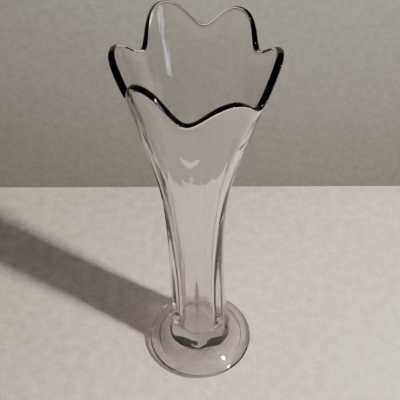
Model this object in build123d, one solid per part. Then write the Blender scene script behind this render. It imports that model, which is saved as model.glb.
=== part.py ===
from build123d import *
from math import cos, exp, hypot, pi, radians, sin
import os

# A footed flower vase of pressed glass, swung while hot so that its bowl flares into six lobes.
# Millimetres, +Z up. The origin is on the table, under the middle of the foot.
# Azimuth runs from the front (-Y) towards +X.

# ---- foot ----
FOOT_RADIUS = 41.0
FOOT_HEIGHT = 16.0
EDGE_HEIGHT = 7.0
EDGE_ROUNDING = 4.5
EDGE_LIFT = 0.2
DOME_SLOPE = 0.22
COLLAR_WIDTH = 2.7
COLLAR_DROP = 3.5
RING_WIDTH = 5.5
RECESS_DEPTH = 4.5
RECESS_FLATNESS = 0.75
RECESS_SIDE = 1.5
RECESS_SIDE_RISE = 0.8

# ---- body ----
HEIGHT = 280.0
COLUMN_RADIUS = 18.6
SEAT_RADIUS = 20.7
TAPER_END = 100.0
SKIRT_WIDTH = 4.7
SKIRT_REACH = 6.5
MOUTH_RADIUS = 51.5
FLARE_START = 180.0
FLARE_SOFTNESS = 38.0
BOW = 1.4
BOW_END = 240.0

# ---- panels: six, one under each lobe, with rounded ridges that run up to the notches ----
LOBES = 6
FIRST_LOBE_ANGLE = 24.0
RIDGE_SHARPNESS = 12.0
BASE_BLEND = 8.0
RIM_BLEND_START = 190.0
RIM_BLEND_END = 275.0

# ---- well ----
WALL_AT_RIM = 3.8
WALL_AT_FLOOR = 9.5
EVEN_WALL_FROM = 200.0
WELL_FLOOR = 23.0
FLOOR_RISE = 5.0
WELL_PANELLING = 0.8

# ---- rim: how far each lobe and the notch after it lie below the top, and lean out of round ----
LOBE_DROPS = (11.0, 3.0, 0.0, 0.0, 7.0, 1.5)
NOTCH_DROPS = (25.0, 15.5, 14.5, 19.5, 23.0, 23.0)
LOBE_SPREADS = (1.0, 0.0, -2.5, 1.0, 1.0, 0.0)
NOTCH_SPREADS = (2.5, -4.0, -1.0, -3.0, 0.0, 2.5)
LOBE_FULLNESS = 1.2
SPREAD_START = 200.0
LIP_FLAT = 0.4

# ---- how finely the curved faces are laid out ----
RING_POINTS = 72
BODY_RINGS = 19
RING_CROWDING = 1.4
RIM_POINTS = 48
RIM_MARGIN = 12.0


def eased(start, end, value):
    """0 below start, 1 above end, and a smooth rise between them."""
    share = min(max((value - start) / (end - start), 0.0), 1.0)
    return (1 - cos(pi * share)) / 2


def on_circle(radius, azimuth, height):
    return Vector(radius * sin(azimuth), -radius * cos(azimuth), height)


def panels(azimuth):
    """Radius of a hexagon with rounded ridges, 1 at the middle of each panel."""
    first = radians(FIRST_LOBE_ANGLE)
    sides = [abs(cos(azimuth - first - 2 * pi * side / LOBES)) for side in range(LOBES // 2)]
    return sum(side ** RIDGE_SHARPNESS for side in sides) ** (-1 / RIDGE_SHARPNESS)


def round_the_rim(azimuth, at_lobes, at_notches):
    """A value that swings smoothly from each lobe to the notch after it and on to the next lobe."""
    turn = (azimuth - radians(FIRST_LOBE_ANGLE)) / (2 * pi) * LOBES % LOBES
    lobe = int(turn)
    share = 2 * (turn - lobe)
    nearest = at_lobes[lobe] if share <= 1 else at_lobes[(lobe + 1) % LOBES]
    from_lobe = min(share, 2 - share)
    return nearest + (at_notches[lobe] - nearest) * (1 - cos(pi * from_lobe ** LOBE_FULLNESS)) / 2


def flare(height):
    """Straight flare that starts gently: nearly level in the column, and straight above FLARE_START."""
    above = height - FLARE_START
    return (hypot(above, FLARE_SOFTNESS) + above) / 2


def column_radius(height):
    """Outer radius at the middle of the panels, before the skirt at the base is added."""
    rise = (flare(height) - flare(FOOT_HEIGHT)) / (flare(HEIGHT) - flare(FOOT_HEIGHT))
    taper = (SEAT_RADIUS - COLUMN_RADIUS) * (1 - eased(FOOT_HEIGHT, TAPER_END, height))
    return COLUMN_RADIUS + (MOUTH_RADIUS - COLUMN_RADIUS) * rise + taper


def body_radius(height):
    """Outer radius with the skirt, which spreads over the last few millimetres above the foot."""
    return column_radius(height) + SKIRT_WIDTH * exp((FOOT_HEIGHT - height) / SKIRT_REACH)


def well_radius(height):
    """Inner radius: the wall is thickest at the floor of the well and even through the flare."""
    extra = (WALL_AT_FLOOR - WALL_AT_RIM) * (1 - eased(WELL_FLOOR, EVEN_WALL_FROM, height))
    return column_radius(height) - WALL_AT_RIM - extra


def ring(radius, height, panelling):
    """One closed cross-section: round on the foot, panelled in the column, round again at the rim."""
    panelled = panelling * eased(FOOT_HEIGHT, FOOT_HEIGHT + BASE_BLEND, height)
    panelled *= 1 - eased(RIM_BLEND_START, RIM_BLEND_END, height)
    spread = eased(SPREAD_START, HEIGHT, height)
    points = []
    for step in range(RING_POINTS):
        azimuth = 2 * pi * step / RING_POINTS
        reach = radius * (1 + panelled * (panels(azimuth) - 1))
        reach += spread * round_the_rim(azimuth, LOBE_SPREADS, NOTCH_SPREADS)
        points.append(on_circle(reach, azimuth, height))
    lean = -BOW * sin(pi * min((height - FOOT_HEIGHT) / (BOW_END - FOOT_HEIGHT), 1.0))
    return Face(Wire(Edge.make_spline(points, periodic=True))).moved(Location((lean, 0, 0)))


def trumpet(radius_at, heights, panelling):
    """Solid skinned through one ring at each height."""
    return loft([ring(radius_at(height), height, panelling) for height in heights])


def ring_heights(bottom):
    """Heights from bottom to just above the rim, closer together near the bottom, where the skirt is."""
    top = HEIGHT + RIM_MARGIN
    shares = [step / (BODY_RINGS - 1) for step in range(BODY_RINGS)]
    return [bottom + (top - bottom) * share ** RING_CROWDING for share in shares]


def rounded_well():
    """The well, with a bowl-shaped floor that rises FLOOR_RISE from its middle to its wall."""
    reach = well_radius(WELL_FLOOR)
    ball_radius = (reach ** 2 + FLOOR_RISE ** 2) / (2 * FLOOR_RISE)
    plug_height = 2 * FLOOR_RISE
    plug = Pos(0, 0, WELL_FLOOR + plug_height / 2) * Cylinder(reach + FLOOR_RISE, plug_height)
    ball = Pos(0, 0, WELL_FLOOR + ball_radius) * Sphere(ball_radius)
    return trumpet(well_radius, ring_heights(WELL_FLOOR), WELL_PANELLING) - (plug - ball)


def rim_curve(radius):
    """Closed curve that follows the lobes and notches at one radius."""
    points = []
    for step in range(RIM_POINTS):
        azimuth = radians(FIRST_LOBE_ANGLE) + 2 * pi * step / RIM_POINTS
        drop = round_the_rim(azimuth, LOBE_DROPS, NOTCH_DROPS)
        points.append(on_circle(radius, azimuth, HEIGHT - drop))
    return Edge.make_spline(points, periodic=True)


def above_rim():
    """Everything above the wavy rim, as one thick wavy washer."""
    inside = COLUMN_RADIUS
    outside = MOUTH_RADIUS + RIM_MARGIN
    wave = Face.make_surface_from_curves(rim_curve(inside), rim_curve(outside))
    return Solid.extrude(wave, Vector(0, 0, max(NOTCH_DROPS) + 2 * RIM_MARGIN))


def foot():
    """Domed disc with a rounded edge. It rests on a ring round a shallow hollow."""
    ring_outer = FOOT_RADIUS - EDGE_ROUNDING
    ring_inner = ring_outer - RING_WIDTH
    recess_flat = (ring_inner * RECESS_FLATNESS, RECESS_DEPTH)
    recess_shoulder = (ring_inner - RECESS_SIDE, RECESS_DEPTH * RECESS_SIDE_RISE)
    seat = (body_radius(FOOT_HEIGHT), FOOT_HEIGHT)
    collar = (seat[0] + COLLAR_WIDTH, FOOT_HEIGHT - COLLAR_DROP)
    with BuildPart() as part:
        with BuildSketch(Plane.XZ):
            with BuildLine():
                Line((0, FOOT_HEIGHT), (0, RECESS_DEPTH))
                Bezier((0, RECESS_DEPTH), recess_flat, recess_shoulder, (ring_inner, 0))
                Line((ring_inner, 0), (ring_outer, 0))
                edge = Spline((ring_outer, 0), (FOOT_RADIUS, EDGE_HEIGHT / 2),
                              (ring_outer + EDGE_ROUNDING / 3, EDGE_HEIGHT),
                              tangents=((1, EDGE_LIFT), (-1, DOME_SLOPE)))
                Spline(edge @ 1, collar, seat, tangents=((-1, DOME_SLOPE), (-SKIRT_WIDTH, SKIRT_REACH)))
                Line(seat, (0, FOOT_HEIGHT))
            make_face()
        revolve(axis=Axis.Z)
    return part.part


def body():
    """Column with a solid base, a deep well and a flared bowl with a wavy, rounded rim."""
    vase = trumpet(body_radius, ring_heights(FOOT_HEIGHT), 1.0) - rounded_well() - above_rim()
    rim_face = vase.faces().sort_by(lambda face: face.bounding_box().min.Z)[-1]
    rim_edges = rim_face.edges().filter_by(lambda edge: edge.length > 2 * WALL_AT_RIM)
    return fillet(rim_edges, (WALL_AT_RIM - LIP_FLAT) / 2)


if __name__ == "__main__":
    os.makedirs("parts", exist_ok=True)
    for name, shape in {"foot": foot(), "body": body()}.items():
        shape.label = name
        export_step(shape, f"parts/{name}.step")
        print(name, len(shape.solids()), round(shape.volume), shape.bounding_box())
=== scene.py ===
from math import atan2, cos, exp, hypot, pi, radians, sin

import bmesh
import bpy
from mathutils import Matrix, Vector
from mathutils.geometry import interpolate_bezier

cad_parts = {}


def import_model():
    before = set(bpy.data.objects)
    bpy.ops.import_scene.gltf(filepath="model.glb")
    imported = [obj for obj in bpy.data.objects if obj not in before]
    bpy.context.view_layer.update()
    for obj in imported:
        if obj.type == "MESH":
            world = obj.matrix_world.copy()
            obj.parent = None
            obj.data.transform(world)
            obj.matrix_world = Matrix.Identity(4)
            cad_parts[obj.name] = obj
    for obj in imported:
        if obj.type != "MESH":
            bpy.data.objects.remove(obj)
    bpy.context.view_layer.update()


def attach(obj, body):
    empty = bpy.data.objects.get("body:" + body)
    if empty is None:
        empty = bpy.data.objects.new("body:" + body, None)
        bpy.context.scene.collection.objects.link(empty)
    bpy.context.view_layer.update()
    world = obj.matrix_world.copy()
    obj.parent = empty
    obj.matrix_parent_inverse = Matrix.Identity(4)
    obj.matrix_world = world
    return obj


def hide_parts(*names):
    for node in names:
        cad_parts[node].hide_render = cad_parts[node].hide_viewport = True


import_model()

# A footed vase of pressed glass: domed foot, panelled column with a solid base, and a bowl
# that was swung out while hot into six lobes. Sizes are in millimetres unless the name says metres.
# Azimuth runs from the front (-Y) towards +X.
MM = 0.001
FOOT_RADIUS = 41.0
FOOT_HEIGHT = 16.0
EDGE_HEIGHT = 7.0
EDGE_ROUNDING = 4.5
COLLAR_WIDTH = 2.7
COLLAR_DROP = 3.5
RING_WIDTH = 5.5
RECESS_DEPTH = 4.5
RECESS_FLATNESS = 0.75
RECESS_SIDE = 1.5
RECESS_SIDE_RISE = 0.8

# How far each bend of the foot's outline pulls on its neighbours, out and up.
RING_PULL = 1.0
EDGE_UNDER_PULL = 2.6
EDGE_LOW_HEIGHT = 1.4
EDGE_HIGH_HEIGHT = 5.4
SHOULDER_PULL = (1.8, 0.5)
DOME_EDGE_PULL = (4.0, 1.0)
DOME_COLLAR_PULL = (4.0, 1.3)
COLLAR_PULL = (1.3, 0.55)
SEAT_PULL = 1.7

HEIGHT = 280.0
COLUMN_RADIUS = 18.6
SEAT_RADIUS = 20.7
TAPER_END = 100.0
SKIRT_WIDTH = 4.7
SKIRT_REACH = 6.5
MOUTH_RADIUS = 51.5
FLARE_START = 180.0
FLARE_SOFTNESS = 38.0
BOW = 1.4
BOW_END = 240.0

LOBES = 6
FIRST_LOBE_ANGLE = radians(24.0)
RIDGE_SHARPNESS = 12.0
BASE_BLEND = 8.0
RIM_BLEND = (190.0, 275.0)
WELL_PANELLING = 0.8

WALL_AT_RIM = 3.8
WALL_AT_FLOOR = 9.5
WALL_EVEN_FROM = 200.0
WELL_FLOOR = 23.0
FLOOR_RISE = 5.0
FLOOR_EDGE_PULL = (0.5, 1.8)
FLOOR_FLATNESS = 0.6
LIP_BEAD = 0.8
LIP_BEAD_REACH = 6.0

LOBE_DROPS = (11.0, 3.0, 0.0, 0.0, 7.0, 1.5)
NOTCH_DROPS = (25.0, 15.5, 14.5, 19.5, 23.0, 23.0)
LOBE_SPREADS = (1.0, 0.0, -2.5, 1.0, 1.0, 0.0)
NOTCH_SPREADS = (2.5, -4.0, -1.0, -3.0, 0.0, 2.5)
LOBE_FULLNESS = 1.2
WAVE_START = 190.0
WAVE_EASE = 1.5

# How finely the glass is drawn.
AROUND = 216
RING_STEP = 2.5
RING_CROWDING = 1.2
RECESS_POINTS = 24
RING_POINTS = 5
EDGE_POINTS = 9
DOME_POINTS = 14
COLLAR_POINTS = 12
LIP_STEPS = 12
FLOOR_POINTS = 14

# Sizes of the patterns, as judged. The ripple is drawn out ten times as long as it is wide, as
# swinging would leave it.
RIPPLE_MM = 10.0
RIPPLE_STRETCH = (1.0, 1.0, 0.1)
MOULD_MARK_MM = 3.5
WORN_RING_MM = 0.25

# Such cloth is taken to have a thread every 0.8 mm. It is drawn twice as coarse, so that it shows.
THREAD_MM = 1.6
SLUB_MM = 2.2
WAVER_MM = 9.0
WAVES_PER_SCALE = 20 / (2 * pi)


def linear(hex_colour):
    """sRGB hex to the linear RGBA that shaders take."""
    parts = [int(hex_colour[i:i + 2], 16) / 255 for i in (1, 3, 5)]
    return [c / 12.92 if c <= 0.04045 else ((c + 0.055) / 1.055) ** 2.4 for c in parts] + [1.0]


def per_metre(millimetres):
    """Scale of a texture whose features are that large."""
    return 1 / (millimetres * MM)


def eased(start, end, value):
    share = min(max((value - start) / (end - start), 0.0), 1.0)
    return (1 - cos(pi * share)) / 2


# ---------------------------------------------------------------- shape of the glass
def flare(height):
    above = height - FLARE_START
    return (hypot(above, FLARE_SOFTNESS) + above) / 2


def column_radius(height):
    """Outer radius at the middle of the panels, without the skirt at the base."""
    rise = (flare(height) - flare(FOOT_HEIGHT)) / (flare(HEIGHT) - flare(FOOT_HEIGHT))
    taper = (SEAT_RADIUS - COLUMN_RADIUS) * (1 - eased(FOOT_HEIGHT, TAPER_END, height))
    return COLUMN_RADIUS + (MOUTH_RADIUS - COLUMN_RADIUS) * rise + taper


def body_radius(height):
    return column_radius(height) + SKIRT_WIDTH * exp((FOOT_HEIGHT - height) / SKIRT_REACH)


def wall(height):
    """Thick at the floor of the well, even through the flare, with a bead where the fire drew up the lip."""
    extra = (WALL_AT_FLOOR - WALL_AT_RIM) * (1 - eased(WELL_FLOOR, WALL_EVEN_FROM, height))
    bead = LIP_BEAD * exp(-((HEIGHT - height) / LIP_BEAD_REACH) ** 2)
    return WALL_AT_RIM + extra + bead


def well_radius(height):
    return column_radius(height) - wall(height)


def panels(azimuth):
    """Radius of a hexagon with rounded ridges under the notches, 1 at the middle of each panel."""
    sides = [abs(cos(azimuth - FIRST_LOBE_ANGLE - 2 * pi * side / LOBES)) for side in range(LOBES // 2)]
    return sum(side ** RIDGE_SHARPNESS for side in sides) ** (-1 / RIDGE_SHARPNESS)


def round_the_rim(azimuth, at_lobes, at_notches):
    """A value that swings smoothly from lobe to notch to lobe round the rim."""
    turn = ((azimuth - FIRST_LOBE_ANGLE) / (2 * pi) * LOBES) % LOBES
    lobe = int(turn)
    share = 2 * (turn - lobe)
    nearest = at_lobes[lobe] if share <= 1 else at_lobes[(lobe + 1) % LOBES]
    from_lobe = min(share, 2 - share)
    return nearest + (at_notches[lobe] - nearest) * (1 - cos(pi * from_lobe ** LOBE_FULLNESS)) / 2


def bezier(start, start_handle, end_handle, end, count):
    """Points of one bend of the outline, without its last point."""
    knots = [Vector((r, 0, z)) for r, z in (start, start_handle, end_handle, end)]
    return [(p.x, p.z) for p in interpolate_bezier(*knots, count)][:-1]


def outline():
    """Radius and height of the glass from under the foot, out, up, over the lip and down the well."""
    ring_outer = FOOT_RADIUS - EDGE_ROUNDING
    ring_inner = ring_outer - RING_WIDTH
    edge = (FOOT_RADIUS, EDGE_HEIGHT / 2)
    top_edge = (ring_outer + EDGE_ROUNDING / 3, EDGE_HEIGHT)
    points = bezier((0, RECESS_DEPTH), (ring_inner * RECESS_FLATNESS, RECESS_DEPTH),
                    (ring_inner - RECESS_SIDE, RECESS_DEPTH * RECESS_SIDE_RISE), (ring_inner, 0),
                    RECESS_POINTS)
    points += bezier((ring_inner, 0), (ring_inner + RING_PULL, 0), (ring_outer - RING_PULL, 0),
                     (ring_outer, 0), RING_POINTS)
    points += bezier((ring_outer, 0), (ring_outer + EDGE_UNDER_PULL, 0), (edge[0], EDGE_LOW_HEIGHT),
                     edge, EDGE_POINTS)
    points += bezier(edge, (edge[0], EDGE_HIGH_HEIGHT),
                     (top_edge[0] + SHOULDER_PULL[0], EDGE_HEIGHT - SHOULDER_PULL[1]), top_edge, EDGE_POINTS)
    seat = (body_radius(FOOT_HEIGHT), FOOT_HEIGHT)
    collar = (seat[0] + COLLAR_WIDTH, FOOT_HEIGHT - COLLAR_DROP)
    points += bezier(top_edge, (top_edge[0] - DOME_EDGE_PULL[0], EDGE_HEIGHT + DOME_EDGE_PULL[1]),
                     (collar[0] + DOME_COLLAR_PULL[0], collar[1] - DOME_COLLAR_PULL[1]), collar, DOME_POINTS)
    points += bezier(collar, (collar[0] - COLLAR_PULL[0], collar[1] + COLLAR_PULL[1]),
                     (seat[0] + SEAT_PULL * SKIRT_WIDTH / SKIRT_REACH, seat[1] - SEAT_PULL), seat,
                     COLLAR_POINTS)
    rings = int((HEIGHT - FOOT_HEIGHT) / RING_STEP)
    for step in range(rings):
        height = FOOT_HEIGHT + (HEIGHT - FOOT_HEIGHT) * (step / rings) ** RING_CROWDING
        points.append((body_radius(height), height))
    half = wall(HEIGHT) / 2
    middle = body_radius(HEIGHT) - half
    for step in range(LIP_STEPS + 1):
        turn = pi * step / LIP_STEPS
        points.append((middle + half * cos(turn), HEIGHT + half * sin(turn)))
    floor_edge = WELL_FLOOR + FLOOR_RISE
    for step in range(1, rings):
        height = HEIGHT - (HEIGHT - floor_edge) * step / rings
        points.append((well_radius(height), height))
    reach = well_radius(floor_edge)
    points += bezier((reach, floor_edge), (reach - FLOOR_EDGE_PULL[0], WELL_FLOOR + FLOOR_EDGE_PULL[1]),
                     (reach * FLOOR_FLATNESS, WELL_FLOOR), (0, WELL_FLOOR), FLOOR_POINTS)
    points.append((0, WELL_FLOOR))
    return points


def shaped(point):
    """Where a point of the plain turned form ends up once the panels, the rim's wave and the bow are in."""
    radius = hypot(point.x, point.y) / MM
    height = point.z / MM
    if radius < 1e-6 or height < FOOT_HEIGHT:
        return point
    azimuth = atan2(point.x, -point.y)
    low = min(height, HEIGHT)
    middle = column_radius(low) - wall(max(low, WELL_FLOOR)) / 2
    share = max((low - WAVE_START) / (HEIGHT - WAVE_START), 0.0) ** WAVE_EASE
    fall = round_the_rim(azimuth, LOBE_DROPS, NOTCH_DROPS) * share
    radius += body_radius(low - fall) - body_radius(low)
    panelled = eased(FOOT_HEIGHT, FOOT_HEIGHT + BASE_BLEND, height) * (1 - eased(*RIM_BLEND, height))
    if radius < middle:
        panelled *= WELL_PANELLING
    radius *= 1 + panelled * (panels(azimuth) - 1)
    radius += round_the_rim(azimuth, LOBE_SPREADS, NOTCH_SPREADS) * share
    lean = -BOW * sin(pi * min((height - FOOT_HEIGHT) / (BOW_END - FOOT_HEIGHT), 1.0))
    return Vector(((radius * sin(azimuth) + lean) * MM, -radius * cos(azimuth) * MM,
                   (height - fall) * MM))


def glass_vase():
    bm = bmesh.new()
    chain = [bm.verts.new((radius * MM, 0, height * MM)) for radius, height in outline()]
    edges = [bm.edges.new(pair) for pair in zip(chain, chain[1:])]
    bmesh.ops.spin(bm, geom=chain + edges, cent=(0, 0, 0), axis=(0, 0, 1), angle=2 * pi,
                   steps=AROUND, use_merge=True)
    bmesh.ops.remove_doubles(bm, verts=bm.verts, dist=1e-6)
    for vert in bm.verts:
        vert.co = shaped(vert.co)
    bmesh.ops.recalc_face_normals(bm, faces=bm.faces)
    for face in bm.faces:
        face.smooth = True
    mesh = bpy.data.meshes.new("vase_glass")
    bm.to_mesh(mesh)
    bm.free()
    piece = bpy.data.objects.new("vase_glass", mesh)
    bpy.context.collection.objects.link(piece)
    return piece


# ---------------------------------------------------------------- materials
# The Mix node's colour sockets, by number because its number sockets have the same names.
MIX_A = 6
MIX_B = 7
MIX_RESULT = 2


def add(tree, kind, settings=None, links=None):
    """Adds a node, sets its properties and sockets, and links its inputs from (node, output) pairs."""
    node = tree.nodes.new(kind)
    for name, value in (settings or {}).items():
        if isinstance(name, int) or name in node.inputs:
            node.inputs[name].default_value = value
        else:
            setattr(node, name, value)
    for name, (source, output) in (links or {}).items():
        tree.links.new(source.outputs[output], node.inputs[name])
    return node


def new_material(name):
    material = bpy.data.materials.new(name)
    material.use_nodes = True
    material.node_tree.nodes.clear()
    return material, material.node_tree


def pressed_glass():
    """Manganese soda-lime glass, pressed, swung and fire-polished. The eye sees clear glass with a
    faint amethyst tint where it is thick, long lines drawn up it by the swinging, small mould marks,
    and a resting ring worn dull by the table. Light on its way to a shadow is dimmed by a fixed
    amount, a stand-in for the bending and gathering of light in real glass."""
    material, tree = new_material("amethyst_tinted_pressed_glass")
    place = add(tree, "ShaderNodeTexCoord")
    drawn = add(tree, "ShaderNodeMapping", {"Scale": RIPPLE_STRETCH}, {"Vector": (place, "Object")})
    lazy = add(tree, "ShaderNodeTexNoise", {"Scale": per_metre(RIPPLE_MM), "Detail": 2.0, "Roughness": 0.4},
               {"Vector": (drawn, "Vector")})
    mould = add(tree, "ShaderNodeTexNoise", {"Scale": per_metre(MOULD_MARK_MM), "Detail": 3.0},
                {"Vector": (place, "Object")})
    marks = add(tree, "ShaderNodeMath", {"operation": "MULTIPLY_ADD", 1: 0.03},
                {0: (mould, "Fac"), 2: (lazy, "Fac")})
    skin = add(tree, "ShaderNodeBump", {"Strength": 0.7, "Distance": 0.5 * MM}, {"Height": (marks, "Value")})
    split = add(tree, "ShaderNodeSeparateXYZ", None, {"Vector": (place, "Object")})
    worn = add(tree, "ShaderNodeMapRange", {"From Min": WORN_RING_MM * MM, "From Max": 0.0, "To Min": 0.0,
                                            "To Max": 0.12}, {"Value": (split, "Z")})
    glass = add(tree, "ShaderNodeBsdfPrincipled", {
        "Base Color": linear("#fdfbfd"),
        "IOR": 1.52,
        "Transmission Weight": 1.0,
    }, {"Roughness": (worn, "Result"), "Normal": (skin, "Normal")})
    tint = add(tree, "ShaderNodeVolumeAbsorption", {"Color": linear("#d3c8d0"), "Density": 20.0})
    ray = add(tree, "ShaderNodeLightPath")
    passed = add(tree, "ShaderNodeBsdfTransparent", {"Color": linear("#6a676a")})
    lamp_or_eye = add(tree, "ShaderNodeMixShader", None,
                      {0: (ray, "Is Shadow Ray"), 1: (glass, "BSDF"), 2: (passed, "BSDF")})
    add(tree, "ShaderNodeOutputMaterial", None,
        {"Surface": (lamp_or_eye, "Shader"), "Volume": (tint, "Volume")})
    return material


def woven_cloth(name, pale, shade):
    """Plain-woven linen upholstery cloth: matt, with slubby threads that catch the light unevenly."""
    material, tree = new_material(name)
    place = add(tree, "ShaderNodeTexCoord")
    waver = add(tree, "ShaderNodeTexNoise", {"Scale": per_metre(WAVER_MM), "Detail": 2.0},
                {"Vector": (place, "Object")})
    threads = []
    for direction in ("X", "Y", "Z"):
        threads.append(add(tree, "ShaderNodeTexWave", {
            "wave_type": "BANDS", "bands_direction": direction, "wave_profile": "SIN",
            "Scale": per_metre(THREAD_MM) / WAVES_PER_SCALE, "Distortion": 1.5, "Detail": 2.0,
            "Detail Scale": 2.0}, {"Vector": (place, "Object")}))
    cross = add(tree, "ShaderNodeMath", {"operation": "MULTIPLY"},
                {0: (threads[0], "Fac"), 1: (threads[1], "Fac")})
    weave = add(tree, "ShaderNodeMath", {"operation": "ADD"}, {0: (cross, "Value"), 1: (threads[2], "Fac")})
    slub = add(tree, "ShaderNodeTexNoise", {"Scale": per_metre(SLUB_MM), "Detail": 4.0, "Roughness": 0.7},
               {"Vector": (place, "Object")})
    mixed = add(tree, "ShaderNodeMath", {"operation": "ADD"}, {0: (slub, "Fac"), 1: (waver, "Fac")})
    level = add(tree, "ShaderNodeMapRange", {"From Min": 0.7, "From Max": 1.3}, {"Value": (mixed, "Value")})
    dye = add(tree, "ShaderNodeMix", {"data_type": "RGBA", MIX_A: linear(shade), MIX_B: linear(pale)},
              {"Factor": (level, "Result")})
    rise = add(tree, "ShaderNodeMath", {"operation": "MULTIPLY_ADD", 1: 0.6},
               {0: (weave, "Value"), 2: (slub, "Fac")})
    bump = add(tree, "ShaderNodeBump", {"Strength": 0.6, "Distance": 0.5 * MM}, {"Height": (rise, "Value")})
    cloth = add(tree, "ShaderNodeBsdfPrincipled", {"Roughness": 0.92, "Sheen Weight": 0.15},
                {"Normal": (bump, "Normal"), "Base Color": (dye, MIX_RESULT)})
    add(tree, "ShaderNodeOutputMaterial", None, {"Surface": (cloth, "BSDF")})
    return material


# ---------------------------------------------------------------- stage
def slab(name, low, high, material):
    bm = bmesh.new()
    size = [b - a for a, b in zip(low, high)]
    centre = [(a + b) / 2 for a, b in zip(low, high)]
    bmesh.ops.create_cube(bm, size=1.0,
                          matrix=Matrix.Translation(centre) @ Matrix.Diagonal(size + [1.0]))
    mesh = bpy.data.meshes.new(name)
    bm.to_mesh(mesh)
    bm.free()
    mesh.materials.append(material)
    piece = bpy.data.objects.new(name, mesh)
    bpy.context.collection.objects.link(piece)
    return piece


def soft_light(name, place, aim, size, watts, colour):
    data = bpy.data.lights.new(name, "AREA")
    data.shape = "RECTANGLE"
    data.size, data.size_y = size
    data.energy = watts
    data.color = linear(colour)[:3]
    lamp = bpy.data.objects.new(name, data)
    lamp.location = place
    lamp.rotation_euler = (Vector(aim) - Vector(place)).to_track_quat("-Z", "Y").to_euler()
    bpy.context.collection.objects.link(lamp)
    return lamp


def camera():
    data = bpy.data.cameras.new("camera")
    data.lens = 67.5
    data.sensor_width = 36.0
    lens = bpy.data.objects.new("camera", data)
    lens.location = (0.0074, -0.363, 0.5146)
    lens.rotation_euler = (Matrix.Rotation(radians(0.93), 3, "Z")
                           @ Matrix.Rotation(radians(90 - 44.48), 3, "X")
                           @ Matrix.Rotation(radians(-0.86), 3, "Z")).to_euler()
    bpy.context.collection.objects.link(lens)
    bpy.context.scene.camera = lens


def world():
    """A dim room, lighter and cooler on the left."""
    room = bpy.data.worlds.new("room")
    room.use_nodes = True
    tree = room.node_tree
    tree.nodes.clear()
    place = add(tree, "ShaderNodeTexCoord")
    split = add(tree, "ShaderNodeSeparateXYZ", None, {"Vector": (place, "Generated")})
    leftness = add(tree, "ShaderNodeMapRange", {"From Min": 0.6, "From Max": -0.8}, {"Value": (split, "X")})
    tone = add(tree, "ShaderNodeMix", {"data_type": "RGBA", MIX_A: linear("#2c2926"),
                                       MIX_B: linear("#96949e")}, {"Factor": (leftness, "Result")})
    sky = add(tree, "ShaderNodeBackground", {"Strength": 0.16}, {"Color": (tone, MIX_RESULT)})
    add(tree, "ShaderNodeOutputWorld", None, {"Surface": (sky, "Background")})
    bpy.context.scene.world = room


vase = glass_vase()
vase.data.materials.append(pressed_glass())
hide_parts("foot", "body")
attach(vase, "root")

# In metres. The pale top ends behind the vase, and the wall stands far enough back to leave room
# for a look from behind.
BACK_EDGE = 0.18
FLOOR_TOP = -0.0003
WALL_AT = 0.67
slab("floor", (-6.0, -6.0, -0.02), (6.0, BACK_EDGE, FLOOR_TOP),
     woven_cloth("pale_linen", "#e9e5dd", "#c8c2b7"))
slab("backdrop", (-4.0, WALL_AT, -1.4), (4.0, WALL_AT + 0.02, 0.9),
     woven_cloth("grey_linen", "#e2e1db", "#cbcbc6"))

for column in range(2):
    for row in range(3):
        soft_light(f"pane_{column}{row}", (0.93 + 0.10 * column, -0.87 + 0.09 * column, 0.22 + 0.21 * row),
                   (0, 0, 0.2), (0.06, 0.15), 0.35, "#dfeaff")
soft_light("lamp", (0.56, -0.33, 0.60), (0, 0, 0.0), (0.06, 0.06), 13.5, "#fff3e4")
soft_light("skylight", (0.47, -0.10, 1.0), (0, 0, 0.0), (0.26, 0.10), 0.6, "#e6eeff")
world()
camera()
